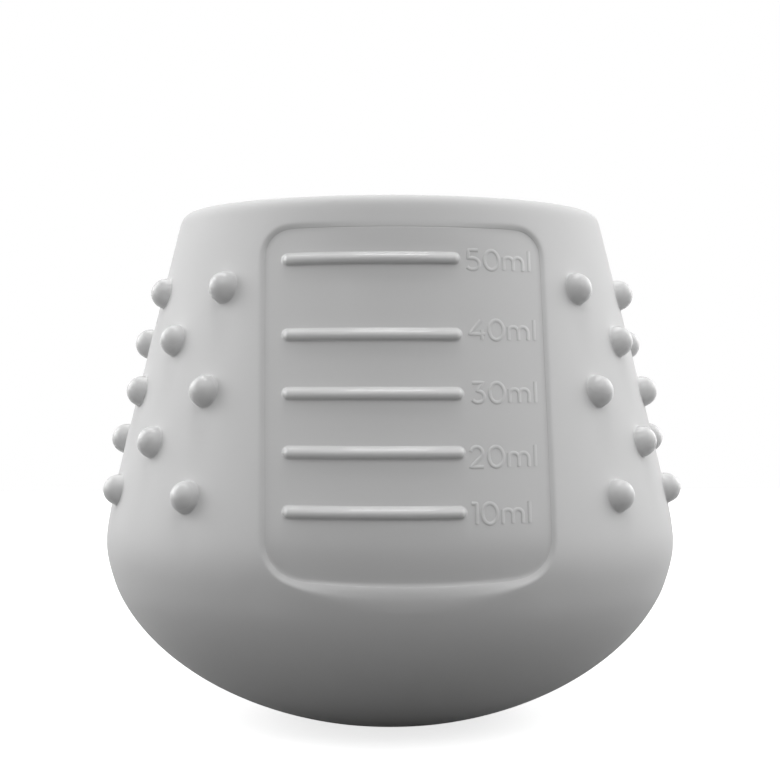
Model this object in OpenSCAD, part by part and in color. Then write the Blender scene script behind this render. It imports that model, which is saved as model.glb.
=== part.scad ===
// Open training cup with a domed, weighted base, a bumpy grip sleeve and a graduated inner cup
// that shows through a window in the sleeve.
// Millimetres, +Z up. The origin is the centre of the foot, and the window faces -Y.

/* [Outer shape] */
// Height of the rim above the foot
cup_h = 53; // [49:0.5:58]
// Outer diameter where the wall meets the rounded lip
rim_d = 44.5; // [42:0.1:48]
// Diameter of the belly, the widest ring
belly_d = 60; // [57:0.5:66]
// Height of the belly above the foot
belly_z = 18.8; // [17.5:0.1:21]
// Diameter of the flat foot under the dome
foot_d = 17.2; // [12:0.2:24]
// Fullness of the dome: 2 is an ellipse, less is more pointed
dome_fullness = 1.93; // [1.8:0.01:2.2]
// Lean of the wall at the rim, in degrees from upright
rim_lean = 13.8; // [10:0.2:18]
// How far down from the rim the wall keeps that lean
straight_wall = 20; // [12:0.5:24]
// How far up from the belly the wall keeps upright
upright_belly = 3; // [1:0.1:4]

/* [Walls and fits] */
// Wall of the sleeve, measured level
sleeve_wall = 1.4; // [1:0.1:1.8]
// Wall of the inner cup, measured level
cup_wall = 1.4; // [1:0.1:2]
// Gap between the sleeve and what it holds
fit_gap = 0.1; // [0.05:0.01:0.3]
// Height of the lip that hooks over the inner cup's edge
lip_h = 2; // [1.8:0.1:2.6]
// Height of the drink space's floor above the foot
drink_floor_z = 17.8; // [16:0.2:20]
// Radius of the corner between the drink space's floor and wall
drink_corner_r = 8; // [4:0.5:10]
// Thickness of the inner cup's floor
cup_floor = 3.3; // [2.4:0.1:4]
// Radius of the inner cup's lower outer corner
seat_corner_r = 1.5; // [0.8:0.1:2]

/* [Window] */
// Width of the window
window_w = 27.4; // [20:0.2:30]
// Height of the window's lower edge above the foot
window_z = 16.6; // [16.4:0.2:20]
// Height of the sleeve left between the window and the lip
window_bridge = 0.7; // [0.4:0.1:3]
// Radius of the window's upper corners
window_top_r = 3; // [1:0.25:6]
// Radius of the window's lower corners
window_bottom_r = 4; // [1:0.25:6]
// How deep the panel lies below the sleeve's surface
panel_recess = 0.35; // [0.2:0.05:0.8]

/* [Graduation ribs] */
// Thickness of the half-round ribs
rib_d = 1.1; // [0.6:0.1:1.6]
// Distance from the window's left edge to the ribs
rib_margin = 2.1; // [1:0.1:4]
// Length of a rib, measured straight across
rib_length = 16.7; // [8:0.1:18]
// Height of the lowest rib above the drink space's floor
rib_1 = 5.5; // [4:0.1:6]
// Height of the second rib above the drink space's floor
rib_2 = 10.9; // [9.6:0.1:12]
// Height of the third rib above the drink space's floor
rib_3 = 16.3; // [15:0.1:18]
// Height of the fourth rib above the drink space's floor
rib_4 = 21.8; // [20.4:0.1:24]
// Height of the top rib above the drink space's floor
rib_5 = 29; // [27:0.1:30]

/* [Grip bumps] */
// Radius of a bump, a ball set about half into the wall
bump_r = 1.6; // [1:0.05:2.2]
// How far the ball's centre stands out from the wall
bump_stand = 0.1; // [0:0.05:0.4]
// Columns of bumps that a full turn would hold
bump_columns = 24; // [16:2:28]
// Rows of bumps, set on every other column in turn
bump_rows = 5; // [3:1:5]
// Height between one row and the next
bump_pitch = 5; // [4:0.1:5.5]
// Distance from the rim down to the top row
bump_drop = 8.7; // [7:0.1:10]
// Clear wall between the window and the nearest bump
bump_clear = 1; // [0.5:0.1:4]

/* [Ballast] */
// Diameter of the ballast disc
ballast_d = 28; // [20:0.5:32]
// Thickness of the ballast disc
ballast_h = 6; // [4:0.5:8]
// Chamfer round the ballast disc's edges
ballast_chamfer = 0.8; // [0.4:0.1:1.2]

/* [Hidden] */
$fn = 96;
sleeve_grey = [0.78, 0.78, 0.78];
panel_grey = [0.70, 0.70, 0.70];
steel_grey = [0.62, 0.63, 0.65];

// How finely the curves are drawn
wall_steps = 16;
dome_steps = 18;
arc_steps = 8;

belly_r = belly_d / 2;
foot_r = foot_d / 2;
wall = sleeve_wall + fit_gap + cup_wall;
lip_r = wall * cos(rim_lean) / 2;
lip_z = cup_h - lip_r;
lip_centre_r = rim_d / 2 - lip_r * cos(rim_lean);
ledge_z = cup_h - lip_h;
cup_rim_z = ledge_z - fit_gap;
seat_z = drink_floor_z - cup_floor;
well_z = seat_z - fit_gap - ballast_h;
window_h = ledge_z - window_bridge - window_z;
column_angle = 360 / bump_columns;
top_row_z = cup_h - bump_drop;
rib_heights = [rib_1, rib_2, rib_3, rib_4, rib_5];
// The rounding of a rib's ends reaches a little past its thickness
rib_end_r = 0.75 * rib_d;

// A point on the cubic curve with the four given control points
function curve(a, b, c, d, t) =
    pow(1 - t, 3) * a + 3 * pow(1 - t, 2) * t * b + 3 * (1 - t) * t * t * c + t * t * t * d;

// Points [radius, height] of the dome, from the foot's edge to the belly
dome_depth = belly_z / pow(1 - pow(foot_r / belly_r, dome_fullness), 1 / dome_fullness);
dome_start = acos(pow(foot_r / belly_r, dome_fullness / 2));
dome_line = [
    for (i = [0 : dome_steps - 1])
        let (a = dome_start * (1 - i / dome_steps))
            [
                belly_r * pow(cos(a), 2 / dome_fullness),
                belly_z - dome_depth * pow(sin(a), 2 / dome_fullness)
            ]
];

// Points [radius, height] of the wall, from the belly to the lip
wall_bottom = [belly_r, belly_z];
wall_top = [rim_d / 2, lip_z + lip_r * sin(rim_lean)];
wall_line = [
    for (i = [0 : wall_steps])
        curve(wall_bottom, wall_bottom + upright_belly * [0, 1],
            wall_top + straight_wall * [sin(rim_lean), -cos(rim_lean)], wall_top, i / wall_steps)
];
outside = concat(dome_line, wall_line);
outside_by_height = [for (p = outside) [p[1], p[0]]];

// Radius of the outside at a height
function outside_r(z) = lookup(z, outside_by_height);

// Points of a wall that lies inside the outside by a level distance, from a rounded lower corner up
function inside_line(depth, z_low, z_high, corner_r) = concat(
    [
        for (i = [0 : arc_steps])
            let (a = 90 * i / arc_steps, z = z_low + corner_r * (1 - cos(a)))
                [outside_r(z) - depth - corner_r * (1 - sin(a)), z]
    ],
    [
        for (p = outside)
            if (p[1] > z_low + corner_r && p[1] < z_high) [p[0] - depth, p[1]]
    ],
    [[outside_r(z_high) - depth, z_high]]
);

function reversed(points) = [for (i = [len(points) - 1 : -1 : 0]) points[i]];

// The drink space's wall ends where the lip's rounding begins
drink_top_z = lip_z - lip_r * sin(rim_lean);
drink_line = inside_line(wall, drink_floor_z, drink_top_z, drink_corner_r);
pocket_line = inside_line(sleeve_wall, seat_z, ledge_z, seat_corner_r);
cup_line = inside_line(sleeve_wall + fit_gap, seat_z, cup_rim_z, seat_corner_r);
panel_line = inside_line(panel_recess, seat_z, cup_rim_z, seat_corner_r);
lip_line = [
    for (i = [1 : 2 * arc_steps])
        let (a = rim_lean + 90 * i / arc_steps)
            [lip_centre_r + lip_r * cos(a), lip_z + lip_r * sin(a)]
];

// A solid of revolution, with its seam turned clear of the bumps
module turned(outline) {
    rotate([0, 0, column_angle / 2]) rotate_extrude() polygon(outline);
}

// The solid that fills a wall line up to a height
module filled(line, z_low, z_high) {
    turned(concat([[0, z_low]], line, [[0, z_high]]));
}

module window_outline(gap) {
    w = window_w - 2 * gap;
    h = window_h - 2 * gap;
    top_r = window_top_r - gap;
    bottom_r = window_bottom_r - gap;
    translate([-w / 2, window_z + gap]) {
        translate([0, bottom_r]) square([w, h - bottom_r - top_r]);
        translate([bottom_r, 0]) square([w - 2 * bottom_r, bottom_r]);
        translate([top_r, h - top_r]) square([w - 2 * top_r, top_r]);
        for (x = [bottom_r, w - bottom_r]) translate([x, bottom_r]) circle(bottom_r);
        for (x = [top_r, w - top_r]) translate([x, h - top_r]) circle(top_r);
    }
}

// The window's outline carried straight through the front of the cup
module window_prism(gap) {
    rotate([90, 0, 0]) linear_extrude(belly_d) window_outline(gap);
}

// Balls on every other column of a row, all round but for the window
module bumps() {
    for (row = [0 : bump_rows - 1]) {
        z = top_row_z - row * bump_pitch;
        r = outside_r(z);
        for (column = [0 : bump_columns - 1]) {
            turn = column * column_angle;
            clear_x = window_w / 2 + bump_clear + bump_r;
            in_front = cos(turn) > 0 && outside_r(top_row_z) * abs(sin(turn)) < clear_x;
            if ((column + row) % 2 == 1 && !in_front)
                rotate([0, 0, turn]) translate([0, -r - bump_stand, z]) sphere(bump_r);
        }
    }
}

// Rib bent round the panel, its ends rounded as seen from the front
module rib(z) {
    r = outside_r(z) - panel_recess;
    left = rib_margin - window_w / 2;
    translate([0, 0, z]) intersection() {
        rotate_extrude() translate([r, 0]) circle(rib_d / 2);
        rotate([90, 0, 0]) linear_extrude(belly_d) {
            translate([left + rib_end_r, -rib_end_r]) square([rib_length - 2 * rib_end_r, 2 * rib_end_r]);
            for (x = [left + rib_end_r, left + rib_length - rib_end_r]) translate([x, 0]) circle(rib_end_r);
        }
    }
}

module ribs() {
    for (h = rib_heights) {
        z = drink_floor_z + h;
        if (z + rib_d < window_z + window_h) rib(z);
    }
}

module outer_sleeve() {
    outline = concat(
        [[0, 0]],
        outside,
        lip_line,
        [[outside_r(ledge_z) - wall, ledge_z]],
        reversed(pocket_line),
        [
            [ballast_d / 2 + fit_gap, seat_z],
            [ballast_d / 2 + fit_gap, well_z],
            [0, well_z]
        ]
    );
    color(sleeve_grey) difference() {
        union() {
            turned(outline);
            bumps();
        }
        window_prism(0);
    }
}

module inner_cup() {
    color(panel_grey) difference() {
        union() {
            filled(cup_line, seat_z, cup_rim_z);
            intersection() {
                filled(panel_line, seat_z, cup_rim_z);
                window_prism(fit_gap);
            }
            ribs();
        }
        filled(drink_line, drink_floor_z, drink_top_z);
    }
}

module ballast_disc() {
    r = ballast_d / 2;
    c = ballast_chamfer;
    color(steel_grey) translate([0, 0, well_z]) rotate_extrude()
        polygon([[0, 0], [r - c, 0], [r, c], [r, ballast_h - c], [r - c, ballast_h], [0, ballast_h]]);
}

outer_sleeve();
inner_cup();
ballast_disc();
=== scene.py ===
"""Open training cup: a soft sleeve with grip bumps and a window, the smooth inner cup behind it with
its graduations, the weight in the base, and the stage that the cup stands on."""
import math
from contextlib import contextmanager
from functools import lru_cache
from typing import NamedTuple

import bmesh
import bpy
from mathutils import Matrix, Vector
from mathutils.kdtree import KDTree


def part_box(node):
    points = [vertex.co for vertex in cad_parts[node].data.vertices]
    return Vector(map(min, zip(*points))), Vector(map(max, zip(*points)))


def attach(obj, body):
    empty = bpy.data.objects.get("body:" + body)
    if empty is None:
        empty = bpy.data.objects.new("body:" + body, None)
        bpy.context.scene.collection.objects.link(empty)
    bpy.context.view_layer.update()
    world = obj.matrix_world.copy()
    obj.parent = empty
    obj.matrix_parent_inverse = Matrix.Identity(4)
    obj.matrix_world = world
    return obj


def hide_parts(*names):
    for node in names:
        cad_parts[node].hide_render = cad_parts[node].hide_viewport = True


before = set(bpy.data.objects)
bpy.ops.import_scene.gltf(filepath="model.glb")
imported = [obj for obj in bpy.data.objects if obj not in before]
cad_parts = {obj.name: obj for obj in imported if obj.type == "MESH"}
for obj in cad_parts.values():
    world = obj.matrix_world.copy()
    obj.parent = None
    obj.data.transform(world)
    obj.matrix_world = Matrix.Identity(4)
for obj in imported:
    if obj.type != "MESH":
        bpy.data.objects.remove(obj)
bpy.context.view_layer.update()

bl_info = {
    "name": "Training Cup",
    "version": (1, 0, 0),
    "blender": (4, 5, 0),
    "location": "View3D > Sidebar > Cup",
    "description": "Models an open training cup over its packed frame and sets its stage",
    "category": "Add Mesh",
}

MM = 0.001
SLEEVE_LOW, SLEEVE_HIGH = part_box("outer_sleeve")
BALLAST_LOW, BALLAST_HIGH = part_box("ballast_disc")


# Sizes and colours

def length(name, description, millimetres):
    """A length that the sidebar shows, with its default in millimetres."""
    return bpy.props.FloatProperty(
        name=name, description=description, default=millimetres * MM, unit="LENGTH")


def lengths(name, description, *millimetres):
    """A row of lengths that the sidebar shows, with their defaults in millimetres."""
    return bpy.props.FloatVectorProperty(
        name=name, description=description, size=len(millimetres),
        default=tuple(value * MM for value in millimetres), unit="LENGTH")


def colour(name, description, *default):
    """A colour that the sidebar shows."""
    return bpy.props.FloatVectorProperty(
        name=name, description=description, size=3, subtype="COLOR", min=0, max=1, default=default)


class CupSizes(bpy.types.PropertyGroup):
    """The cup's sizes."""
    cup_height: length(
        "Cup height", "Height of the rim above the foot", (SLEEVE_HIGH[2] - SLEEVE_LOW[2]) / MM)
    belly_diameter: length("Belly diameter", "Diameter of the widest ring", 60)
    belly_height: length("Belly height", "Height of the widest ring above the foot", 18.8)
    rim_diameter: length("Rim diameter", "Outer diameter where the wall meets the lip", 44.5)
    foot_diameter: length("Foot diameter", "Diameter of the flat foot under the dome", 17.2)
    dome_fullness: bpy.props.FloatProperty(
        name="Dome fullness", description="How full the dome is: 2 is an ellipse, less is more pointed",
        default=1.93)
    rim_lean: bpy.props.FloatProperty(
        name="Rim lean", description="Lean of the wall at the rim",
        default=math.radians(13.8), subtype="ANGLE")
    straight_wall: length("Straight wall", "How far down from the rim the wall keeps that lean", 20)
    upright_belly: length("Upright belly", "How far up from the belly the wall keeps upright", 3)
    sleeve_wall: length("Sleeve wall", "Wall of the sleeve, measured level", 1.4)
    cup_wall: length("Inner cup wall", "Wall of the inner cup, measured level", 1.4)
    fit_gap: length("Fit gap", "Gap between the sleeve and what it holds", 0.1)
    lip_height: length("Lip height", "Height of the lip over the inner cup's edge", 2)
    drink_floor: length("Drink floor", "Height of the drink space's floor above the foot", 17.8)
    drink_corner: length("Drink corner", "Radius between the drink space's floor and wall", 8)
    cup_floor: length("Inner cup floor", "Thickness of the inner cup's floor", 3.3)
    seat_corner: length("Seat corner", "Radius of the inner cup's lower outer corner", 1.5)
    window_width: length("Window width", "Width of the window, straight across", 27.4)
    window_bottom: length("Window bottom", "Height of the window's lower edge above the foot", 16.6)
    window_top: length("Window top", "Height of the window's upper edge above the foot", 50.3)
    window_top_corner: length("Upper corners", "Radius of the window's upper corners", 3)
    window_bottom_corner: length("Lower corners", "Radius of the window's lower corners", 4)
    panel_recess: length("Panel recess", "How deep the panel lies below the sleeve's surface", 0.35)
    rib_thickness: length("Rib thickness", "Thickness of the half-round graduation ribs", 1.1)
    rib_margin: length("Rib margin", "Distance from the window's left edge to the ribs", 2.1)
    rib_length: length("Rib length", "Length of a rib, straight across", 16.7)
    rib_heights: lengths("Rib heights", "Heights of the ribs above the foot", 23.3, 28.7, 34.1, 39.6, 46.8)
    numeral_height: length("Numeral height", "Height of the raised numbers", 2.2)
    numeral_stroke: length("Numeral stroke", "Thickness of the raised numbers' strokes", 0.36)
    numeral_relief: length(
        "Numeral relief", "How far the raised numbers stand out from the panel", 0.045)
    numeral_lefts: lengths(
        "Numeral starts", "Where each number starts, right of the window's middle",
        5.4, 5.4, 5.7, 5.65, 5.55)
    numeral_bottoms: lengths(
        "Numeral feet", "Height of each number's foot above the cup's foot",
        22.1, 27.22, 33.1, 38.97, 45.64)
    bump_radius: length("Bump radius", "Radius of a grip bump, a ball set into the wall", 1.6)
    bump_stand: length("Bump stand", "How far the ball's centre stands out from the wall", 0.1)
    bump_fillet: length("Bump fillet", "Radius of the soft corner round a bump", 0.12)
    bump_columns: bpy.props.IntProperty(
        name="Bump columns", description="Columns of bumps that a full turn would hold", default=24)
    bump_rows: bpy.props.IntProperty(
        name="Bump rows", description="Rows of bumps, set on every other column in turn", default=5)
    bump_pitch: length("Bump pitch", "Height between one row of bumps and the next", 5)
    bump_drop: length("Bump drop", "Distance from the rim down to the top row of bumps", 8.7)
    bump_clear: length("Bump clearance", "Clear wall between the window and the nearest bump", 1)


class CupFinish(bpy.types.PropertyGroup):
    """The colours of the cup and the floor."""
    sleeve_colour: colour("Sleeve", "Colour of the satin silicone sleeve", 0.64, 0.64, 0.64)
    panel_colour: colour("Inner cup", "Colour of the polished inner cup", 0.62, 0.62, 0.62)
    steel_colour: colour("Weight", "Colour of the turned steel weight", 0.60, 0.60, 0.62)
    floor_colour: colour("Floor", "Colour of the floor", 0.75, 0.75, 0.75)


# The cup's form

# How the panel's recess changes near the window's head and foot, as a share of it, and how far from them
HEAD_LESS = 0.85
HEAD_REACH = 5 * MM
HEAD_WIDTH = 9 * MM
FOOT_MORE = 1.5
FOOT_REACH = 4.5 * MM
# How far past a window corner's rounding it still draws the grid in
CORNER_REACH = 1.5 * MM
# Halvings that find a height on the wall's curve
HALVINGS = 36


def eased(t):
    """From 0 to 1 as t goes from 0 to 1, with a soft start and end."""
    t = min(1.0, max(0.0, t))
    return t * t * (3 - 2 * t)


class CupForm:
    """Where the cup's walls lie, worked out from its sizes."""

    def __init__(self, sizes):
        self.sizes = sizes
        self.belly = sizes.belly_diameter / 2
        self.foot = sizes.foot_diameter / 2
        self.wall = sizes.sleeve_wall + sizes.fit_gap + sizes.cup_wall
        self.half_width = sizes.window_width / 2
        rim, lean = sizes.rim_diameter / 2, sizes.rim_lean
        self.lip_radius = self.wall * math.cos(lean) / 2
        self.lip_z = sizes.cup_height - self.lip_radius
        self.lip_centre = rim - self.lip_radius * math.cos(lean)
        self.wall_top = self.lip_z + self.lip_radius * math.sin(lean)
        self.ledge_z = sizes.cup_height - sizes.lip_height
        self.seat_z = sizes.drink_floor - sizes.cup_floor
        full = sizes.dome_fullness
        self.dome_depth = sizes.belly_height / (1 - (self.foot / self.belly) ** full) ** (1 / full)
        self.curve_r = (self.belly, self.belly, rim + sizes.straight_wall * math.sin(lean), rim)
        self.curve_z = (
            sizes.belly_height, sizes.belly_height + sizes.upright_belly,
            self.wall_top - sizes.straight_wall * math.cos(lean), self.wall_top)
        self.outside = lru_cache(maxsize=None)(self.find_outside)

    @staticmethod
    def on_curve(values, t):
        """A coordinate of the wall's cubic curve at t."""
        a, b, c, d = values
        s = 1 - t
        return s * s * s * a + 3 * s * s * t * b + 3 * s * t * t * c + t * t * t * d

    def find_outside(self, z):
        """Radius of the sleeve's outside at a height, without bumps; outside(z) remembers it."""
        if z <= self.sizes.belly_height:
            full = self.sizes.dome_fullness
            rise = (self.sizes.belly_height - z) / self.dome_depth
            return self.belly * (1 - rise ** full) ** (1 / full)
        low, high = 0.0, 1.0
        for _ in range(HALVINGS):
            middle = (low + high) / 2
            if self.on_curve(self.curve_z, middle) < z:
                low = middle
            else:
                high = middle
        return self.on_curve(self.curve_r, low)

    def window_radius(self, z, depth):
        """The radius that sets how far the window's sides turn at a height, a level depth inside."""
        return self.outside(min(max(z, self.sizes.window_bottom), self.sizes.window_top)) - depth

    def recess(self, x, z):
        """How deep the panel lies below the sleeve: less at its head's middle, and more at its foot."""
        sizes = self.sizes
        head = eased((z - sizes.window_top) / HEAD_REACH + 1) * math.exp(-(x / HEAD_WIDTH) ** 4)
        foot = eased((sizes.window_bottom - z) / FOOT_REACH + 1)
        return sizes.panel_recess * (1 - HEAD_LESS * head + FOOT_MORE * foot)

    def front(self, x, z, depth):
        """The point at x and z in front of the axis, a level depth inside the outside."""
        radius = self.outside(z) - depth
        return Vector((x, -math.sqrt(radius * radius - x * x), z))

    def corner_line(self, depth, low, corner, angles):
        """Points (radius, height) round a wall's lower corner, at angles from its floor up to its wall."""
        turns = [math.radians(angle) for angle in angles]
        heights = [low + corner * (1 - math.cos(turn)) for turn in turns]
        return [
            (self.outside(z) - depth - corner * (1 - math.sin(turn)), z) for turn, z in zip(turns, heights)]

    def window_corner(self, z):
        """The window's corners nearest a height: whether they are the upper ones, their radius and height."""
        sizes = self.sizes
        if z > (sizes.window_bottom + sizes.window_top) / 2:
            return True, sizes.window_top_corner, sizes.window_top - sizes.window_top_corner
        return False, sizes.window_bottom_corner, sizes.window_bottom + sizes.window_bottom_corner

    def round_corner(self, x, z):
        """Draws a point of the window's square outline, or one near it, in to its rounded corner."""
        above, corner, centre_z = self.window_corner(z)
        centre_x = math.copysign(self.half_width - corner, x)
        dx, dz = x - centre_x, z - centre_z
        if dx * centre_x <= 0 or (dz > 0) != above:
            return x, z
        longest, shortest = max(abs(dx), abs(dz)), min(abs(dx), abs(dz))
        turn = math.pi / 4 * shortest / longest
        along, across = longest * math.cos(turn), longest * math.sin(turn)
        if abs(dx) < abs(dz):
            along, across = across, along
        weight = min(1.0, max(0.0, 1 - (longest - corner) / CORNER_REACH))
        new_x = centre_x + math.copysign(along, dx)
        new_z = centre_z + math.copysign(across, dz)
        return x + weight * (new_x - x), z + weight * (new_z - z)

    def outline_normal(self, x, z):
        """The outward normal, as (x, z), of the window's rounded outline at a point on it."""
        above, corner, centre_z = self.window_corner(z)
        dx = math.copysign(max(0.0, abs(x) - (self.half_width - corner)), x)
        dz = max(0.0, z - centre_z) if above else min(0.0, z - centre_z)
        away = math.hypot(dx, dz)
        return dx / away, dz / away


# Lathed grids

# Columns in a turn, from the window's middle to its side, and to where they are even again
COLUMNS = 120
WINDOW_COLUMNS = 10
EVEN_COLUMNS_OUTSIDE = 13
EVEN_COLUMNS_INSIDE = 16
# What each point of a grid is labelled with
LABELS = ("row", "column", "ring", "bump")
# Points that are nearer than this are one
MERGE_DISTANCE = MM / 1000
# How near a sharp corner its neighbouring rows lie, so that it stays crisp when it is subdivided, and
# the ways in which they can lie, as (radius, height)
CRISP = 0.06 * MM
UP, DOWN, OUT, IN = (0, 1), (0, -1), (1, 0), (-1, 0)


class Row(NamedTuple):
    """One ring of a lathed grid: its radius and height, how deep it lies, and how the window draws it."""
    radius: float
    z: float
    depth: float = None
    window_radius: float = None
    even_columns: float = EVEN_COLUMNS_OUTSIDE


def between(low, high, count):
    """Count values spaced evenly after low, up to and with high."""
    return [low + (high - low) * (i + 1) / count for i in range(count)]


def crisp_corner(row, radius, z, before, after):
    """The row at a sharp corner of a profile, with those close before and after it."""
    return [row(radius + CRISP * dr, z + CRISP * dz) for dr, dz in (before, (0, 0), after)]


def signed(column):
    """A column's number counted from the window's middle, to either side."""
    return column if column <= COLUMNS // 2 else column - COLUMNS


@contextmanager
def edited(piece):
    """The mesh of a piece in edit mode and its points' labels, written back when the block ends."""
    mesh = bmesh.from_edit_mesh(piece.data)
    yield mesh, mesh.verts.layers.int
    bmesh.update_edit_mesh(piece.data)


def add_point(name, place):
    """Adds a plane, merges it to one point at a place and stays in edit mode."""
    if bpy.context.object and bpy.context.object.mode != "OBJECT":
        bpy.ops.object.mode_set(mode="OBJECT")
    bpy.ops.object.select_all(action="DESELECT")
    bpy.ops.mesh.primitive_plane_add(size=MM, location=place)
    piece = bpy.context.object
    piece.name = piece.data.name = name
    bpy.ops.object.transform_apply(location=True, rotation=True, scale=True)
    bpy.ops.object.mode_set(mode="EDIT")
    bpy.ops.mesh.select_mode(type="VERT")
    bpy.ops.mesh.select_all(action="SELECT")
    bpy.ops.mesh.merge(type="CENTER")
    return piece


def draw_line(points):
    """Extrudes the selected point from each of the given points to the next."""
    for here, there in zip(points, points[1:]):
        bpy.ops.mesh.extrude_vertices_move(TRANSFORM_OT_translate={"value": there - here})


def merge_doubles():
    """Selects everything and merges what lies on one place."""
    bpy.ops.mesh.select_all(action="SELECT")
    bpy.ops.mesh.remove_doubles(threshold=MERGE_DISTANCE)


def face_outwards():
    """Turns all faces outwards and leaves nothing selected."""
    bpy.ops.mesh.select_all(action="SELECT")
    bpy.ops.mesh.normals_make_consistent(inside=False)
    bpy.ops.mesh.select_all(action="DESELECT")


def close_seams():
    """Merges what spinning left double, and turns the faces outwards."""
    merge_doubles()
    face_outwards()


def lathe(name, rows):
    """Draws the rows' profile in front of the axis, spins it, and labels each point by row and column."""
    points = [Vector((0, -row.radius, row.z)) for row in rows]
    piece = add_point(name, points[0])
    draw_line(points)
    bpy.ops.mesh.select_all(action="SELECT")
    bpy.ops.mesh.spin(steps=COLUMNS, angle=math.tau, center=(0, 0, 0), axis=(0, 0, 1))
    close_seams()
    near = KDTree(len(rows))
    for index, row in enumerate(rows):
        near.insert((row.radius, 0, row.z), index)
    near.balance()
    with edited(piece) as (mesh, labels):
        for label in LABELS:
            labels.new(label)
        for vert in mesh.verts:
            x, y, z = vert.co
            turn = math.atan2(x, -y) / math.tau
            vert[labels["row"]] = near.find((math.hypot(x, y), 0, z))[1]
            vert[labels["column"]] = round(turn * COLUMNS) % COLUMNS
    return piece


def grid_point(form, row, column):
    """Where a crossing of a lathed grid lies once the window has drawn the columns to its sides."""
    step = math.tau / COLUMNS
    number = signed(column)
    count = abs(number)
    turn = count * step
    if row.window_radius and count < row.even_columns:
        side = math.asin(form.half_width / row.window_radius)
        if count <= WINDOW_COLUMNS:
            turn = side * count / WINDOW_COLUMNS
        else:
            share = (count - WINDOW_COLUMNS) / (row.even_columns - WINDOW_COLUMNS)
            turn = side + (row.even_columns * step - side) * share
    turn = math.copysign(turn, number)
    x, z = row.radius * math.sin(turn), row.z
    if row.depth is None or count >= row.even_columns:
        return Vector((x, -row.radius * math.cos(turn), z))
    return form.front(*form.round_corner(x, z), row.depth)


def settle_grid(form, piece, rows):
    """Moves each point of a fresh lathed grid to its place round the window."""
    with edited(piece) as (mesh, labels):
        for vert in mesh.verts:
            row = rows[vert[labels["row"]]]
            if row.radius > 0:
                vert.co = grid_point(form, row, vert[labels["column"]])


def move_selected(form, piece, rows, place):
    """Moves each selected point to what place gives for its crossing's x and z, its row and its column."""
    with edited(piece) as (mesh, labels):
        for vert in mesh.verts:
            if vert.select:
                row, column = vert[labels["row"]], vert[labels["column"]]
                start = grid_point(form, rows[row], column)
                vert.co = place(start.x, start.z, row, column)


def cell_of(face, labels):
    """A grid face's lowest row, its first column and its highest row."""
    rows = [vert[labels["row"]] for vert in face.verts]
    columns = sorted({vert[labels["column"]] for vert in face.verts})
    at_seam = columns[0] == 0 and columns[-1] == COLUMNS - 1
    return min(rows), columns[-1] if at_seam else columns[0], max(rows)


def select_cells(piece, wanted):
    """Selects the grid's faces that are wanted by their lowest row, first column and highest row."""
    bpy.ops.mesh.select_mode(type="FACE")
    with edited(piece) as (mesh, labels):
        for face in mesh.faces:
            face.select_set(wanted(*cell_of(face, labels)))
        mesh.select_flush_mode()


def select_window(piece, *walls):
    """Selects the window's faces in the given walls, each as its first and last row."""
    def wanted(row, column, last_row):
        in_walls = any(low <= row < last_row <= high for low, high in walls)
        return in_walls and -WINDOW_COLUMNS <= signed(column) < WINDOW_COLUMNS

    select_cells(piece, wanted)


def select_open_edges(piece, first_row, last_row):
    """Selects the open edges that lie between two rows, and nothing else."""
    bpy.ops.mesh.select_all(action="DESELECT")
    bpy.ops.mesh.select_mode(type="EDGE")
    with edited(piece) as (mesh, labels):
        row = labels["row"]
        for edge in mesh.edges:
            inside = all(first_row <= vert[row] <= last_row for vert in edge.verts)
            edge.select_set(edge.is_boundary and inside)


def finish_mesh(piece, levels):
    """Leaves edit mode, applies a subdivision and shades the piece smooth."""
    bpy.ops.object.mode_set(mode="OBJECT")
    for label in LABELS:
        if label in piece.data.attributes:
            piece.data.attributes.remove(piece.data.attributes[label])
    if levels:
        smooth = piece.modifiers.new("Soft form", "SUBSURF")
        smooth.levels = smooth.render_levels = levels
        bpy.ops.object.modifier_apply(modifier=smooth.name)
    bpy.ops.object.shade_smooth()


def hand_over(piece, material, node=None):
    """Gives a finished piece its material and its place in the frame."""
    piece.data.materials.clear()
    piece.data.materials.append(material)
    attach(piece, "root")
    if node:
        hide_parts(node)
    bpy.ops.object.select_all(action="DESELECT")


# The sleeve

# How its profile is stepped: shares of the foot's radius, and counts of rows further on
FOOT_SHARES = (0, 0.35, 0.7, 0.94, 1.0)
DOME_STEPS = 20
BRIDGE_STEPS = 2
LIP_STEPS = 10
# How far below the window the dome's rows end, clear of the window's soft foot
DOME_GAP = 2.4 * MM
# The angles of the rows round the pocket's lower corner, from its floor to its wall
SEAT_ANGLES = (0, 30, 60, 90)

# How the window's edge falls from the sleeve's surface to the panel at its sides and at its foot: points
# from outside in, as (millimetres inside the outline, share of the recess)
SIDE_EDGE = (
    (-0.3, 0.0), (-0.1, 0.02), (0.05, 0.1), (0.2, 0.29), (0.36, 0.56), (0.5, 0.79), (0.64, 0.93),
    (0.8, 0.99), (1.0, 1.0))
FOOT_EDGE = (
    (-2.3, 0.0), (-1.7, 0.05), (-1.25, 0.13), (-0.95, 0.2), (-0.2, 0.47), (0.05, 0.74), (0.3, 0.97),
    (0.46, 1.0), (0.7, 1.0))
# The sleeve has the points up to this one, and the panel those after it
SLEEVE_EDGE_END = 5
# How the sleeve's edge turns under beyond that, in millimetres further in and down, and where its back ends
EDGE_TIP = (0.03, 0.04)
EDGE_BACK = 0.25 * MM
# How far from the window's middle its soft foot has turned into the plain edge of the sides
SOFT_FOOT_REACH = 10.5 * MM

# How many faces a bump's patch reaches to each side of its middle
BUMP_REACH = 2
# The attribute that marks the bumps' polished balls, and how many rings of a bump lie below its ball
POLISH = "polish"
FILLET_RINGS = 3
# The first rings round a bump, as (distance out from its fillet's start, height) in fillet radii
FOOT_RINGS = ((1.6, 0.0), (0.1, 0.02))
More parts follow.
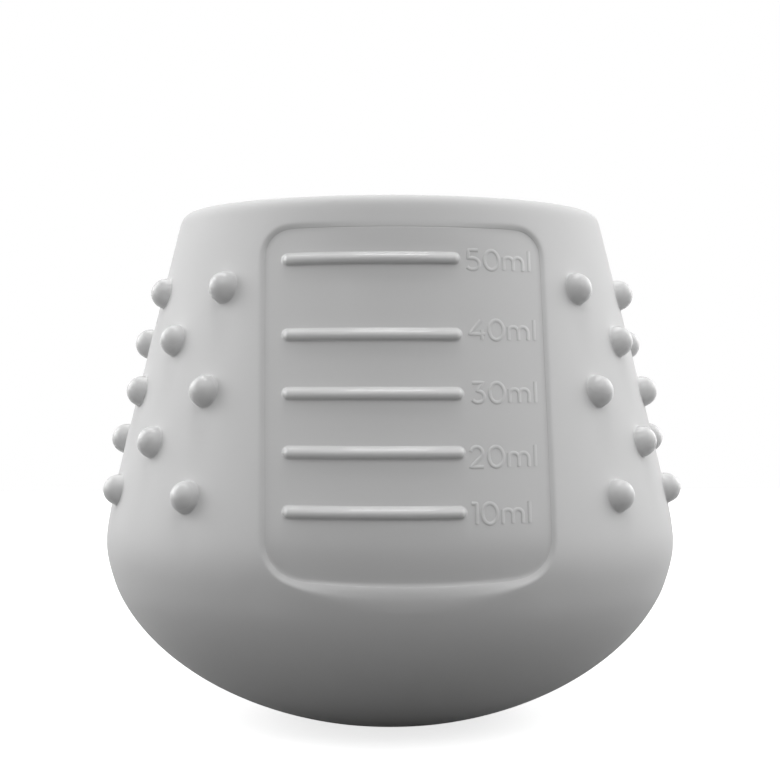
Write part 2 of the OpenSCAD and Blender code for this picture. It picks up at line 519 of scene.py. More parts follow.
# Where the rings of a bump's ball lie between its base and its top, and then those of its cap, in degrees
BALL_RINGS = (70, 47)
BALL_CAP = {1: 23, 0: 0}
# Subdividing draws a ring in by this share, so the ball starts larger
BALL_SHRINK = 0.015
# How far up and down the wall's slope is measured at a bump
SLOPE_REACH = 0.05 * MM


def sleeve_rows(form):
    """The sleeve's profile from the foot up the outside, over the lip and down the pocket to the well,
    with the first and last rows of the outer and the inner wall that the window goes through."""
    sizes = form.sizes

    def outside_row(z):
        return Row(form.outside(z), z, 0.0, form.window_radius(z, 0))

    def inside_row(radius, z, depth=None):
        return Row(radius, z, depth, form.window_radius(z, sizes.sleeve_wall), EVEN_COLUMNS_INSIDE)

    foot = [Row(form.foot * share, 0.0, None, form.window_radius(0, 0)) for share in FOOT_SHARES]
    dome_top = sizes.window_bottom - DOME_GAP
    full = sizes.dome_fullness
    start = math.acos((form.foot / form.belly) ** (full / 2))
    end = math.asin(((sizes.belly_height - dome_top) / form.dome_depth) ** (full / 2))
    dome = [
        outside_row(sizes.belly_height - form.dome_depth * math.sin(a) ** (2 / full))
        for a in between(start, end, DOME_STEPS)]

    step = sizes.bump_pitch / (2 * BUMP_REACH)
    top_row = sizes.cup_height - sizes.bump_drop
    low = top_row - (sizes.bump_rows - 1) * sizes.bump_pitch - BUMP_REACH * step
    high = top_row + BUMP_REACH * step
    levels = [sizes.window_bottom]
    for here, there in ((sizes.window_bottom, low), (low, high), (high, sizes.window_top)):
        levels += between(here, there, round((there - here) / step))
    wall = [outside_row(z) for z in levels]
    bridge = [outside_row(z) for z in between(sizes.window_top, form.wall_top, BRIDGE_STEPS)]

    lip = []
    for i in range(1, LIP_STEPS + 1):
        share = i / LIP_STEPS
        a = sizes.rim_lean + math.pi * share
        radius = form.lip_centre + form.lip_radius * math.cos(a)
        z = form.lip_z + form.lip_radius * math.sin(a)
        even = EVEN_COLUMNS_OUTSIDE + share * (EVEN_COLUMNS_INSIDE - EVEN_COLUMNS_OUTSIDE)
        lip.append(Row(radius, z, None, form.window_radius(z, share * sizes.sleeve_wall), even))
    ledge_in = form.outside(form.ledge_z) - form.wall
    ledge_out = form.outside(form.ledge_z) - sizes.sleeve_wall
    ledge = crisp_corner(inside_row, ledge_in, form.ledge_z, UP, OUT)
    ledge += crisp_corner(inside_row, ledge_out, form.ledge_z, IN, DOWN)

    depth = sizes.sleeve_wall
    pocket = [inside_row(form.outside(z) - depth, z, depth) for z in reversed(levels)]
    corner = form.corner_line(depth, form.seat_z, sizes.seat_corner, reversed(SEAT_ANGLES))
    seat = [inside_row(*point) for point in corner]
    well_r, well_z = BALLAST_HIGH[0] + sizes.fit_gap, BALLAST_LOW[2]
    well = crisp_corner(inside_row, well_r, form.seat_z, OUT, DOWN)
    well += crisp_corner(inside_row, well_r, well_z, UP, IN) + [inside_row(0.0, well_z)]
    before_wall = foot + dome
    before_pocket = before_wall + wall + bridge + lip + ledge
    outer = (len(before_wall), len(before_wall + wall) - 1)
    inner = (len(before_pocket), len(before_pocket + pocket) - 1)
    return before_pocket + pocket + seat + well, outer, inner


def bump_rings(sizes):
    """A bump's rings from the wall to the top and its cap's, as (distance from its axis, height)."""
    radius, stand, fillet = sizes.bump_radius, sizes.bump_stand, sizes.bump_fillet
    full = radius * (1 + BALL_SHRINK)
    away = math.sqrt((radius + fillet) ** 2 - (fillet - stand) ** 2)
    slant = fillet * math.sqrt(0.5)
    touch = full / (radius + fillet)
    rings = [(away + out * fillet, height * fillet) for out, height in FOOT_RINGS]
    rings += [(away - slant, fillet - slant), (away * touch, stand + (fillet - stand) * touch)]

    def on_ball(angle):
        return full * math.sin(math.radians(angle)), stand + full * math.cos(math.radians(angle))

    return rings + [on_ball(a) for a in BALL_RINGS], {k: on_ball(a) for k, a in BALL_CAP.items()}


def bump_centres(form, rows):
    """The grid crossings, as (row, column), that carry a bump: all round but for the window."""
    sizes = form.sizes
    top_row = sizes.cup_height - sizes.bump_drop
    clear = form.half_width + sizes.bump_clear + sizes.bump_radius
    centres = []
    for level in range(sizes.bump_rows):
        z = top_row - level * sizes.bump_pitch
        row = min(range(len(rows)), key=lambda i: abs(rows[i].z - z) if rows[i].depth == 0 else math.inf)
        for place in range(sizes.bump_columns):
            turn = math.tau * place / sizes.bump_columns
            in_front = math.cos(turn) > 0 and form.outside(top_row) * abs(math.sin(turn)) < clear
            if (place + level) % 2 == 1 and not in_front:
                centres.append((row, round(place * COLUMNS / sizes.bump_columns)))
    return centres


def bump_point(form, z, column, up, across, ring):
    """Where a point of a bump's patch lies on one of its rings or on its cap."""
    square = max(abs(up), abs(across))
    distance, height = ring
    # The patch's square outline becomes a circle with its points evenly spread
    angle = 0.0
    if square:
        if abs(across) == square:
            angle = math.pi / 4 * up / across + (0 if across > 0 else math.pi)
        else:
            angle = math.pi / 2 * math.copysign(1, up) - math.pi / 4 * across / up
    slope = (form.outside(z + SLOPE_REACH) - form.outside(z - SLOPE_REACH)) / (2 * SLOPE_REACH)
    turn = column * math.tau / COLUMNS
    out = Vector((math.sin(turn), -math.cos(turn), 0))
    beside = Vector((math.cos(turn), math.sin(turn), 0))
    rise = (Vector((0, 0, 1)) + slope * out).normalized()
    normal = beside.cross(rise)
    point = out * form.outside(z) + Vector((0, 0, z))
    point += distance * (math.cos(angle) * beside + math.sin(angle) * rise)
    # Near the wall the rings follow its curve
    pull = form.outside(point.z) / math.hypot(point.x, point.y)
    on_wall = Vector((point.x * pull, point.y * pull, point.z))
    share = min(1.0, distance / form.sizes.bump_radius)
    return point.lerp(on_wall, share) + height * normal


def raise_bumps(form, piece, rows):
    """Extrudes a patch of faces into a bump at each of their places."""
    centres = bump_centres(form, rows)
    reach = range(-BUMP_REACH, BUMP_REACH)
    patch = {
        (row + i, (column + j) % COLUMNS): number
        for number, (row, column) in enumerate(centres) for i in reach for j in reach}
    select_cells(piece, lambda row, column, last_row: (row, column) in patch)
    with edited(piece) as (mesh, labels):
        for face in mesh.faces:
            if face.select:
                row, column, _ = cell_of(face, labels)
                for vert in face.verts:
                    vert[labels["bump"]] = patch[(row, column)]
    rings, cap = bump_rings(form.sizes)
    for number in range(1, len(rings) + 1):
        bpy.ops.mesh.extrude_region()
        with edited(piece) as (mesh, labels):
            for vert in mesh.verts:
                if vert.select:
                    vert[labels["ring"]] = number
    with edited(piece) as (mesh, labels):
        polish = mesh.verts.layers.float.new(POLISH)
        for vert in mesh.verts:
            number = vert[labels["ring"]]
            vert[polish] = 1.0 if number > FILLET_RINGS else 0.0
            if number:
                row, column = centres[vert[labels["bump"]]]
                up = vert[labels["row"]] - row
                across = signed((vert[labels["column"]] - column) % COLUMNS)
                square = max(abs(up), abs(across))
                ring = rings[number - 1] if square == BUMP_REACH else cap[square]
                vert.co = bump_point(form, rows[row].z, column, up, across, ring)
    bpy.ops.mesh.select_all(action="DESELECT")


def edge_place(form, x, z, point, further=0.0, lower=0.0):
    """Where a point of the window's edge lies at a place on its outline, with a further inset and depth."""
    nx, nz = form.outline_normal(x, z)
    foot = max(0.0, -nz) * max(0.0, 1 - (x / SOFT_FOOT_REACH) ** 2)
    inset, share = (a + foot * (b - a) for a, b in zip(SIDE_EDGE[point], FOOT_EDGE[point]))
    inset = (inset + further) * MM
    x, z = x - inset * nx, z - inset * nz
    return form.front(x, z, share * form.recess(x, z) + lower * MM)


def cut_window(form, piece, rows, outer, inner):
    """Cuts the window through both walls, rolls its edge down to the panel and joins the two walls there."""
    def roll(point, *tip):
        move_selected(form, piece, rows, lambda x, z, row, column: edge_place(form, x, z, point, *tip))

    def under_edge(x, z, row, column):
        nx, nz = form.outline_normal(x, z)
        return form.front(x - EDGE_BACK * nx, z - EDGE_BACK * nz, form.sizes.sleeve_wall)

    select_window(piece, outer, inner)
    bpy.ops.mesh.delete(type="FACE")
    select_open_edges(piece, *outer)
    roll(0)
    for point in range(1, SLEEVE_EDGE_END + 1):
        bpy.ops.mesh.extrude_region()
        roll(point)
    bpy.ops.mesh.extrude_region()
    roll(SLEEVE_EDGE_END, *EDGE_TIP)
    select_open_edges(piece, *inner)
    move_selected(form, piece, rows, under_edge)
    select_open_edges(piece, 0, len(rows))
    bpy.ops.mesh.bridge_edge_loops()
    face_outwards()


class CUP_OT_make_sleeve(bpy.types.Operator):
    """Model the soft sleeve with its lip, bumps, window and domed base"""
    bl_idname = "cup.make_sleeve"
    bl_label = "Make Sleeve"

    def execute(self, context):
        form = CupForm(context.scene.cup_sizes)
        rows, outer, inner = sleeve_rows(form)
        piece = lathe("grip_sleeve", rows)
        settle_grid(form, piece, rows)
        raise_bumps(form, piece, rows)
        cut_window(form, piece, rows, outer, inner)
        finish_mesh(piece, levels=1)
        hand_over(piece, satin_silicone(context.scene.cup_finish), "outer_sleeve")
        return {"FINISHED"}


# The inner cup

# How its profile is stepped: radii under its floor and on it, counts of rows up its walls, and the angles
# of the rows round the drink space's lower corner
SEAT_RADII = (0.0, 10 * MM, 20 * MM)
FLOOR_RADII = (14 * MM, 8 * MM, 0.0)
PANEL_STEPS = 22
DRINK_STEPS = 14
DRINK_ANGLES = (90, 75, 60, 45, 30, 15, 0)
# How the panel rises from the inner cup's wall and comes out under the sleeve's edge: points of the
# window's edge, each with a further inset and depth in millimetres
PANEL_EDGE = (
    (4, 0.0, 1.1), (4, 0.0, 0.2), (4, 0.02, 0.04), (5, -0.03, 0.01), (6, 0, 0), (7, 0, 0), (8, 0, 0))


def inner_cup_rows(form):
    """The inner cup's profile from under its floor, up its outside and down its inside to the floor, with
    the first and last rows of the wall behind the window."""
    sizes = form.sizes
    depth = sizes.sleeve_wall + sizes.fit_gap
    rim_z = form.ledge_z - sizes.fit_gap

    def row(radius, z, row_depth=None):
        return Row(radius, z, row_depth, form.window_radius(z, depth), EVEN_COLUMNS_INSIDE)

    def corner_rows(*corner):
        return [row(*point) for point in form.corner_line(*corner)]

    seat = [row(radius, form.seat_z) for radius in SEAT_RADII]
    seat += corner_rows(depth, form.seat_z, sizes.seat_corner, SEAT_ANGLES)
    levels = [sizes.window_bottom] + between(sizes.window_bottom, sizes.window_top, PANEL_STEPS)
    outside = [row(form.outside(z) - depth, z, depth) for z in levels]
    rim = crisp_corner(row, form.outside(rim_z) - depth, rim_z, DOWN, IN)
    rim += crisp_corner(row, form.outside(rim_z) - form.wall, rim_z, OUT, DOWN)
    corner_top = sizes.drink_floor + sizes.drink_corner
    inside = [row(form.outside(z) - form.wall, z) for z in between(rim_z, corner_top, DRINK_STEPS)[:-1]]
    inside += corner_rows(form.wall, sizes.drink_floor, sizes.drink_corner, DRINK_ANGLES)
    floor = [row(radius, sizes.drink_floor) for radius in FLOOR_RADII]
    return seat + outside + rim + inside + floor, (len(seat), len(seat + outside) - 1)


def raise_panel(form, piece, rows, wall):
    """Extrudes the wall behind the window until it fills the window as a panel."""
    select_window(piece, wall)
    for point, further, lower in PANEL_EDGE:
        def place(x, z, row, column):
            if row in wall or abs(signed(column)) == WINDOW_COLUMNS:
                return edge_place(form, x, z, point, further, lower)
            return form.front(x, z, form.recess(x, z) + lower * MM)

        bpy.ops.mesh.extrude_region()
        move_selected(form, piece, rows, place)
    face_outwards()


class CUP_OT_make_inner_cup(bpy.types.Operator):
    """Model the smooth inner cup with the panel that fills the window"""
    bl_idname = "cup.make_inner_cup"
    bl_label = "Make Inner Cup"

    def execute(self, context):
        form = CupForm(context.scene.cup_sizes)
        rows, wall = inner_cup_rows(form)
        piece = lathe("drink_cup", rows)
        settle_grid(form, piece, rows)
        raise_panel(form, piece, rows, wall)
        finish_mesh(piece, levels=1)
        hand_over(piece, polished_silicone(context.scene.cup_finish), "inner_cup")
        return {"FINISHED"}


# The graduations

# Half of a rib's section from its foot in the panel to its top, as (distance from its line, height)
# in rib radii
RIB_SECTION = (
    (1.36, -0.08), (1.14, 0.0), (1.02, 0.03), (0.955, 0.12), (0.905, 0.28), (0.81, 0.51), (0.66, 0.71),
    (0.47, 0.866), (0.245, 0.966), (0.0, 1.0))
# Steps along a rib and round each of its ends
RIB_STEPS = 18
RIB_END_STEPS = 8


def draw_rib(sizes, name, left, right, z):
    """Spins half a rib's section round one end, draws it along and spins it round the other end."""
    radius = sizes.rib_thickness / 2
    section = [Vector((left, -height * radius, z + away * radius)) for away, height in RIB_SECTION]
    piece = add_point(name, section[0])
    draw_line(section)

    def select_section(x, lower_half):
        bpy.ops.mesh.select_mode(type="EDGE")
        bpy.ops.mesh.select_all(action="DESELECT")
        with edited(piece) as (mesh, _):
            for edge in mesh.edges:
                at_end = all(abs(vert.co.x - x) < MERGE_DISTANCE for vert in edge.verts)
                low = all(vert.co.z < z + MERGE_DISTANCE for vert in edge.verts)
                edge.select_set(at_end and (low or not lower_half))

    def spin_round(x):
        bpy.ops.mesh.spin(steps=RIB_END_STEPS, angle=math.pi, center=(x, 0, z), axis=(0, 1, 0))
        merge_doubles()

    bpy.ops.mesh.select_all(action="SELECT")
    spin_round(left)
    select_section(left, False)
    for _ in range(RIB_STEPS):
        bpy.ops.mesh.extrude_region_move(
            TRANSFORM_OT_translate={"value": ((right - left) / RIB_STEPS, 0, 0)})
    select_section(right, True)
    spin_round(right)
    bpy.ops.mesh.select_all(action="DESELECT")
    bpy.ops.mesh.select_mode(type="EDGE")
    bpy.ops.mesh.select_non_manifold()
    bpy.ops.mesh.fill()
    close_seams()
    finish_mesh(piece, levels=1)
    return piece


def join(pieces, name):
    """Joins pieces into the first of them."""
    bpy.ops.object.select_all(action="DESELECT")
    for piece in pieces:
        piece.select_set(True)
    bpy.context.view_layer.objects.active = pieces[0]
    bpy.ops.object.join()
    pieces[0].name = pieces[0].data.name = name
    return pieces[0]


def wrap_on_panel(form, piece):
    """Lays a piece that was modelled flat, facing -Y, on the panel's curved front."""
    for vert in piece.data.vertices:
        x, y, z = vert.co
        vert.co = form.front(x, z, form.recess(x, z) + y)
    piece.data.update()


class CUP_OT_make_ribs(bpy.types.Operator):
    """Model the half-round graduation ribs on the panel"""
    bl_idname = "cup.make_ribs"
    bl_label = "Make Graduation Ribs"

    def execute(self, context):
        sizes = context.scene.cup_sizes
        form = CupForm(sizes)
        start = sizes.rib_margin - form.half_width
        end_radius = sizes.rib_thickness / 2
        ribs = [
            draw_rib(sizes, f"rib_{i}", start + end_radius, start + sizes.rib_length - end_radius, z)
            for i, z in enumerate(sizes.rib_heights)]
        piece = join(ribs, "graduation_ribs")
        wrap_on_panel(form, piece)
        hand_over(piece, polished_silicone(context.scene.cup_finish))
        return {"FINISHED"}


def arc(x, y, rx, ry, start, end, steps=10):
    """Points along an ellipse from one angle to another, in degrees."""
    turns = [math.radians(start + (end - start) * i / steps) for i in range(steps + 1)]
    return [(x + rx * math.cos(a), y + ry * math.sin(a)) for a in turns]


# Each sign's width, as it counts for spacing, and the middle lines of its strokes, for a height of 1
SIGNS = {
    "0": (0.77, [arc(0.385, 0.5, 0.385, 0.5, 90, 450, 28)]),
    "1": (0.26, [[(0.0, 1.0), (0.26, 1.0), (0.26, 0.0)]]),
    "2": (0.67, [arc(0.32, 0.7, 0.31, 0.3, 165, -38) + [(0.01, 0.0), (0.67, 0.0)]]),
    "3": (0.66, [[(0.04, 1.0), (0.61, 1.0), (0.28, 0.58)] + arc(0.32, 0.29, 0.33, 0.29, 80, -150)]),
    "4": (0.76, [[(0.62, 1.0), (0.0, 0.28), (0.82, 0.28)], [(0.65, 0.5), (0.65, 0.0)]]),
    "5": (0.68, [[(0.62, 1.0), (0.12, 1.0), (0.08, 0.57)] + arc(0.32, 0.29, 0.36, 0.3, 90, -145)]),
    "m": (1.14, [
        [(0.0, 0.0), (0.0, 0.68)],
        arc(0.265, 0.42, 0.265, 0.26, 180, 0) + [(0.53, 0.0)],
        arc(0.795, 0.42, 0.265, 0.26, 180, 0) + [(1.06, 0.0)]]),
    "l": (0.0, [[(0.0, 0.0), (0.0, 1.06)]]),
}
MARKS = ("10ml", "20ml", "30ml", "40ml", "50ml")
# The space between two signs, about how long the steps along a stroke are, how near the ends of a closed
# one lie, and how finely a stroke is rounded
SIGN_SPACE = 0.28
STROKE_STEP = 0.1
CLOSED = 1e-6
STROKE_ROUNDING = 2
# The strokes' flat ends stay crisp, so that their shading doesn't run along the strokes
STROKE_CREASE = math.radians(45)


def stepped(points):
    """The same line with points added along its longer stretches."""
    line = [points[0]]
    for here, there in zip(points, points[1:]):
        steps = max(1, round(math.dist(here, there) / STROKE_STEP))
        shares = [i / steps for i in range(1, steps + 1)]
        line += [tuple(a + (b - a) * share for a, b in zip(here, there)) for share in shares]
    return line


def draw_mark(sizes, name, words, left, bottom):
    """Draws a number and its unit as round strokes, flat in front of the axis."""
    stroke = sizes.numeral_stroke
    scale = sizes.numeral_height - stroke
    bpy.ops.object.select_all(action="DESELECT")
    bpy.ops.curve.primitive_nurbs_path_add(location=(0, 0, 0))
    bpy.context.object.name = name
    line = bpy.context.object.data
    line.splines.clear()
    line.bevel_depth = stroke / 2
    line.bevel_resolution = STROKE_ROUNDING
    line.use_fill_caps = True
    x, z = left + stroke / 2, bottom + stroke / 2
    for sign in words:
        width, strokes = SIGNS[sign]
        for points in map(stepped, strokes):
            closed = math.dist(points[0], points[-1]) < CLOSED
            kept = points[:-1] if closed else points
            spline = line.splines.new("POLY")
            spline.points.add(len(kept) - 1)
            spline.use_cyclic_u = closed
            for point, (u, v) in zip(spline.points, kept):
                point.co = (x + u * scale, 0.0, z + v * scale, 1.0)
        x += (width + SIGN_SPACE) * scale
    bpy.ops.object.convert(target="MESH")
    return bpy.context.object


class CUP_OT_make_numerals(bpy.types.Operator):
    """Model the low raised numbers beside the ribs"""
    bl_idname = "cup.make_numerals"
    bl_label = "Make Numerals"

    def execute(self, context):
        sizes = context.scene.cup_sizes
        places = zip(MARKS, sizes.numeral_lefts, sizes.numeral_bottoms)
        marks = [draw_mark(sizes, f"mark_{i}", *place) for i, place in enumerate(places)]
        piece = join(marks, "graduation_numbers")
        bpy.ops.object.mode_set(mode="EDIT")
        close_seams()
        bpy.ops.mesh.select_all(action="SELECT")
        bpy.ops.transform.resize(
            value=(1, sizes.numeral_relief / (sizes.numeral_stroke / 2), 1), center_override=(0, 0, 0))
        finish_mesh(piece, levels=0)
        bpy.ops.object.shade_smooth_by_angle(angle=STROKE_CREASE)
        wrap_on_panel(CupForm(sizes), piece)
        hand_over(piece, polished_silicone(context.scene.cup_finish))
        return {"FINISHED"}


# Materials

# Scales of the patterns, in cells per metre
SKIN_CLOUD = 160
SKIN_GRAIN = 5200
PANEL_CLOUD = 140
LATHE_RINGS = 900
# How far the patterns change the colours, as a share
SKIN_MOTTLE = 0.012
PANEL_MOTTLE = 0.01
STEEL_MOTTLE = 0.05
# Roughness at the low and the high places of a pattern, whose middle range is used
SKIN_ROUGHNESS = (0.66, 0.74)
BUMP_ROUGHNESS = (0.24, 0.3)
PANEL_ROUGHNESS = (0.085, 0.115)
STEEL_ROUGHNESS = (0.28, 0.4)
PATTERN_RANGE = (0.3, 0.7)
# How strongly the skin's grain and the steel's rings show, how deep both are, and how far the rings wander
GRAIN_STRENGTH = 0.12
RING_STRENGTH = 0.2
GRAIN_DEPTH = 0.01 * MM
RING_WANDER = 0.6
SILICONE_IOR = 1.41


def feed(tree, node, inputs):
    """Sets a node's inputs, each to a value or to another node's output."""
    for name, value in inputs.items():
        if isinstance(value, bpy.types.NodeSocket):
            tree.links.new(value, node.inputs[name])
        else:
            node.inputs[name].default_value = value


def add_node(tree, kind, inputs, **settings):
    """Adds a node with its settings and inputs, and gives its outputs."""
    node = tree.nodes.new(kind)
    for name, value in settings.items():
        setattr(node, name, value)
    feed(tree, node, inputs)
    return node.outputs


def fresh_material(name):
    """A new material with its tree, its shader and its Object coordinates."""
    material = bpy.data.materials.new(name)
    material.use_nodes = True
    tree = material.node_tree
    return material, tree, tree.nodes["Principled BSDF"], add_node(tree, "ShaderNodeTexCoord", {})["Object"]


def noise(tree, place, scale, detail=3.0):
    """A noise pattern, with its scale in cells per metre."""
    return add_node(tree, "ShaderNodeTexNoise", {"Vector": place, "Scale": scale, "Detail": detail})["Fac"]


def spread(tree, value, low, high):
    """Maps a pattern's middle range to the values from low to high."""
    start, end = PATTERN_RANGE
    return add_node(tree, "ShaderNodeMapRange", {
        "Value": value, "From Min": start, "From Max": end, "To Min": low, "To Max": high})["Result"]


def mottled(tree, value, tint, change):
    """A colour that a pattern makes a little darker and lighter."""
    return add_node(tree, "ShaderNodeMix", {
        "Factor": value,
        "A": (*(c * (1 - change) for c in tint), 1),
        "B": (*(min(1.0, c * (1 + change)) for c in tint), 1)}, data_type="RGBA")["Result"]


def grained(tree, value, strength):
    """A fine relief from a pattern."""
    return add_node(tree, "ShaderNodeBump", {
        "Height": value, "Strength": strength, "Distance": GRAIN_DEPTH})["Normal"]


def satin_silicone(finish):
    """Soft grey silicone with a satin skin, faintly cloudy and grained, and a clear gloss on its bumps."""
    material, tree, shader, place = fresh_material("satin_silicone")
    cloud = noise(tree, place, SKIN_CLOUD)
    grain = noise(tree, place, SKIN_GRAIN, 2.0)
    polished = add_node(tree, "ShaderNodeAttribute", {}, attribute_name=POLISH)["Fac"]
    roughness = add_node(tree, "ShaderNodeMix", {
        "Factor": polished, "A": spread(tree, cloud, *SKIN_ROUGHNESS),
        "B": spread(tree, cloud, *BUMP_ROUGHNESS)})["Result"]
    feed(tree, shader, {
        "Base Color": mottled(tree, cloud, finish.sleeve_colour, SKIN_MOTTLE), "Roughness": roughness,
        "Normal": grained(tree, grain, GRAIN_STRENGTH), "IOR": SILICONE_IOR})
    return material


def polished_silicone(finish):
    """The inner cup's smoother silicone, about the same grey with a clearer gloss, made once."""
    if "polished_silicone" in bpy.data.materials:
        return bpy.data.materials["polished_silicone"]
    material, tree, shader, place = fresh_material("polished_silicone")
    cloud = noise(tree, place, PANEL_CLOUD)
    feed(tree, shader, {
        "Base Color": mottled(tree, cloud, finish.panel_colour, PANEL_MOTTLE),
        "Roughness": spread(tree, cloud, *PANEL_ROUGHNESS), "IOR": SILICONE_IOR})
    return material


def turned_steel(finish):
    """Steel with the fine rings that a lathe leaves."""
    material, tree, shader, place = fresh_material("turned_steel")
    rings = add_node(
        tree, "ShaderNodeTexWave", {"Vector": place, "Scale": LATHE_RINGS, "Distortion": RING_WANDER},
        wave_type="RINGS", rings_direction="Z")["Fac"]
    feed(tree, shader, {
        "Base Color": mottled(tree, rings, finish.steel_colour, STEEL_MOTTLE),
        "Roughness": spread(tree, rings, *STEEL_ROUGHNESS),
        "Normal": grained(tree, rings, RING_STRENGTH), "Metallic": 1.0})
    return material


class CUP_OT_finish_ballast(bpy.types.Operator):
    """Give the weight in the base its turned steel"""
    bl_idname = "cup.finish_ballast"
    bl_label = "Finish Weight"

    def execute(self, context):
        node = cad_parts["ballast_disc"]
        node.data.materials.clear()
        node.data.materials.append(turned_steel(context.scene.cup_finish))
        return {"FINISHED"}


# The stage

# The camera's place and lens: level, in front and a little to the left of the window
CAMERA_PLACE = (-11.92 * MM, -181.85 * MM, 34.4 * MM)
CAMERA_TURN = math.radians(3.75)
CAMERA_LENS = 78.36
CAMERA_NEAR = 1 * MM

# Softboxes as (name, azimuth and elevation in degrees, size across, size up, watts, what they light).
# Azimuth 0 is in front of the window and 90 to the right of it; each box faces the cup from the same
# distance. Some light the skin alone and don't show in its gloss, and one shows in the gloss alone.
ALL, SKIN, GLOSS = "all", "skin", "gloss"
AIM = Vector((0, 0, 30 * MM))
LIGHT_DISTANCE = 0.7
SOFTBOXES = (
    ("left_softbox", -110, 30, 0.5, 0.5, 2.95, ALL),
    ("right_softbox", 110, 30, 0.5, 0.5, 1.45, ALL),
    ("left_back", -130, 10, 0.4, 0.4, 0.58, ALL),
    ("right_back", 130, 10, 0.4, 0.4, 0.72, ALL),
    ("left_low", -85, 8, 0.6, 0.2, 0.9, ALL),
    ("right_high", 85, 58, 0.5, 0.4, 0.5, ALL),
    ("right_fill", 85, 20, 0.6, 0.5, 1.9, SKIN),
    ("front_fill", 0, 6, 0.7, 0.3, 0.66, SKIN),
    ("front_top", 0, 50, 0.7, 0.4, 1.6, ALL),
    ("overhead", 0, 88, 0.25, 0.15, 1.25, ALL),
    ("back_top", 180, 65, 0.5, 0.3, 1.8, GLOSS),
)
AMBIENT = 0.05
WHITE = (1, 1, 1, 1)
FLOOR_SIZE = 0.8
# What the floor adds of its own to its white, as a gloss sees it and as the camera does
FLOOR_GLOW = (0.15, 0.75)
# The darker grey in which the floor throws light back on the cup
FLOOR_BOUNCE = (0.13, 0.13, 0.13, 1)


def send_by_ray(tree, lighting, background, output):
    """Gives the background to rays from the camera, a gloss or a glass, and the lighting to the others."""
    path = add_node(tree, "ShaderNodeLightPath", {})
    seen = path["Is Camera Ray"]
    for name in ("Is Glossy Ray", "Is Transmission Ray"):
        seen = add_node(tree, "ShaderNodeMath", {0: seen, 1: path[name]}, operation="MAXIMUM")["Value"]
    choice = add_node(tree, "ShaderNodeMixShader", {"Fac": seen, 1: lighting, 2: background})
    feed(tree, tree.nodes[output], {"Surface": choice["Shader"]})


def pale_floor(finish):
    """A matt floor that the camera sees as white with the cup's shadow on it."""
    material = bpy.data.materials.new("pale_floor")
    material.use_nodes = True
    tree = material.node_tree
    shader = tree.nodes["Principled BSDF"]
    feed(tree, shader, {
        "Roughness": 1.0, "Specular IOR Level": 0.0, "Base Color": (*finish.floor_colour, 1)})
    camera_ray = add_node(tree, "ShaderNodeLightPath", {})["Is Camera Ray"]
    level = add_node(tree, "ShaderNodeMapRange", {
        "Value": camera_ray, "To Min": FLOOR_GLOW[0], "To Max": FLOOR_GLOW[1]})["Result"]
    glow = add_node(tree, "ShaderNodeEmission", {"Strength": level})["Emission"]
    white = add_node(tree, "ShaderNodeAddShader", {0: shader.outputs["BSDF"], 1: glow})["Shader"]
    dim = add_node(tree, "ShaderNodeBsdfDiffuse", {"Color": FLOOR_BOUNCE})["BSDF"]
    send_by_ray(tree, dim, white, "Material Output")
    return material


def white_studio():
    """A world that is a weak light to the cup and white to the camera and in a gloss."""
    world = bpy.data.worlds.new("studio")
    world.use_nodes = True
    tree = world.node_tree
    ambient = tree.nodes["Background"]
    feed(tree, ambient, {"Color": WHITE, "Strength": AMBIENT})
    white = add_node(tree, "ShaderNodeBackground", {"Color": WHITE, "Strength": 1.0})["Background"]
    send_by_ray(tree, ambient.outputs["Background"], white, "World Output")
    return world


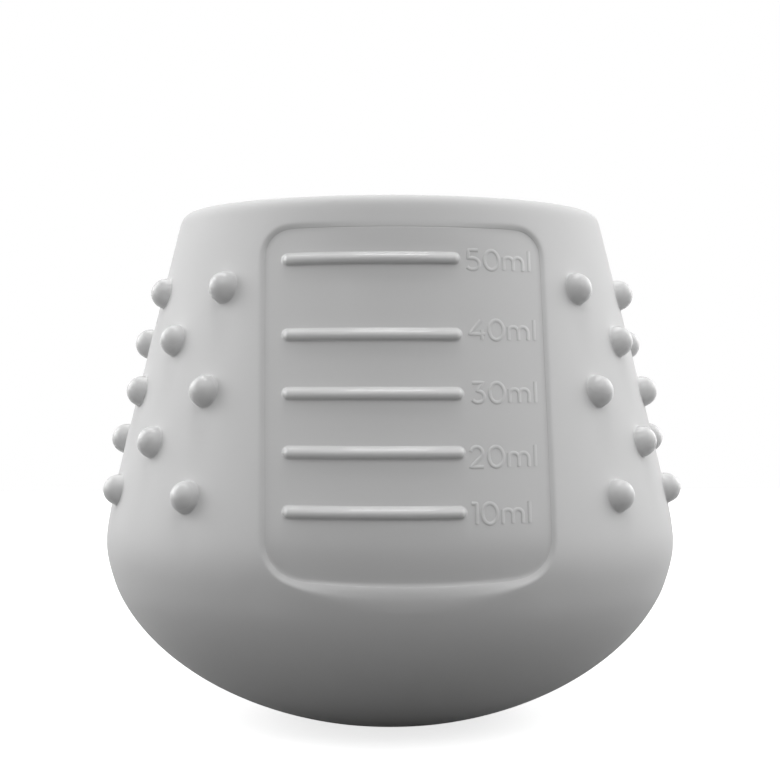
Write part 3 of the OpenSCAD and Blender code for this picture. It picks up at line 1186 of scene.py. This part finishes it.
class CUP_OT_set_stage(bpy.types.Operator):
    """Set the floor, the lights, the white background and the camera"""
    bl_idname = "cup.set_stage"
    bl_label = "Set Stage"

    def execute(self, context):
        scene = context.scene
        bpy.ops.object.select_all(action="DESELECT")
        bpy.ops.mesh.primitive_plane_add(size=FLOOR_SIZE, location=(0, 0, 0))
        floor = bpy.context.object
        floor.name = "floor"
        floor.data.materials.append(pale_floor(scene.cup_finish))
        bpy.ops.object.select_all(action="DESELECT")
        scene.world = white_studio()
        for softbox in SOFTBOXES:
            self.hang_softbox(scene, *softbox)
        lens = bpy.data.cameras.new("camera")
        lens.lens = CAMERA_LENS
        lens.clip_start = CAMERA_NEAR
        camera = bpy.data.objects.new("camera", lens)
        camera.location = CAMERA_PLACE
        camera.rotation_euler = (math.pi / 2, 0, -CAMERA_TURN)
        scene.collection.objects.link(camera)
        scene.camera = camera
        scene.view_settings.view_transform = "Standard"
        return {"FINISHED"}

    def hang_softbox(self, scene, name, azimuth, elevation, across, up, watts, lights):
        turn, rise = math.radians(azimuth), math.radians(elevation)
        away = Vector((math.sin(turn) * math.cos(rise), -math.cos(turn) * math.cos(rise), math.sin(rise)))
        lamp = bpy.data.lights.new(name, "AREA")
        lamp.shape = "RECTANGLE"
        lamp.size, lamp.size_y = across, up
        lamp.energy = watts
        light = bpy.data.objects.new(name, lamp)
        light.location = AIM + LIGHT_DISTANCE * away
        light.rotation_euler = (-away).to_track_quat("-Z", "Y").to_euler()
        light.visible_glossy = lights != SKIN
        light.visible_diffuse = lights != GLOSS
        scene.collection.objects.link(light)


# The add-on

class CUP_PT_sidebar(bpy.types.Panel):
    """The cup's pieces, sizes and colours"""
    bl_label = "Training Cup"
    bl_idname = "CUP_PT_sidebar"
    bl_space_type = "VIEW_3D"
    bl_region_type = "UI"
    bl_category = "Cup"

    def draw(self, context):
        for operator in OPERATORS:
            self.layout.operator(operator.bl_idname)
        for group in (context.scene.cup_sizes, context.scene.cup_finish):
            column = self.layout.column()
            for name in group.__annotations__:
                column.prop(group, name)


OPERATORS = (
    CUP_OT_make_sleeve, CUP_OT_make_inner_cup, CUP_OT_make_ribs, CUP_OT_make_numerals,
    CUP_OT_finish_ballast, CUP_OT_set_stage)
CLASSES = (CupSizes, CupFinish, *OPERATORS, CUP_PT_sidebar)


def register():
    for each in CLASSES:
        bpy.utils.register_class(each)
    bpy.types.Scene.cup_sizes = bpy.props.PointerProperty(type=CupSizes)
    bpy.types.Scene.cup_finish = bpy.props.PointerProperty(type=CupFinish)


def unregister():
    del bpy.types.Scene.cup_finish
    del bpy.types.Scene.cup_sizes
    for each in reversed(CLASSES):
        bpy.utils.unregister_class(each)


def main():
    register()
    bpy.ops.cup.make_sleeve()
    bpy.ops.cup.make_inner_cup()
    bpy.ops.cup.make_ribs()
    bpy.ops.cup.make_numerals()
    bpy.ops.cup.finish_ballast()
    bpy.ops.cup.set_stage()


if __name__ == "__main__":
    main()
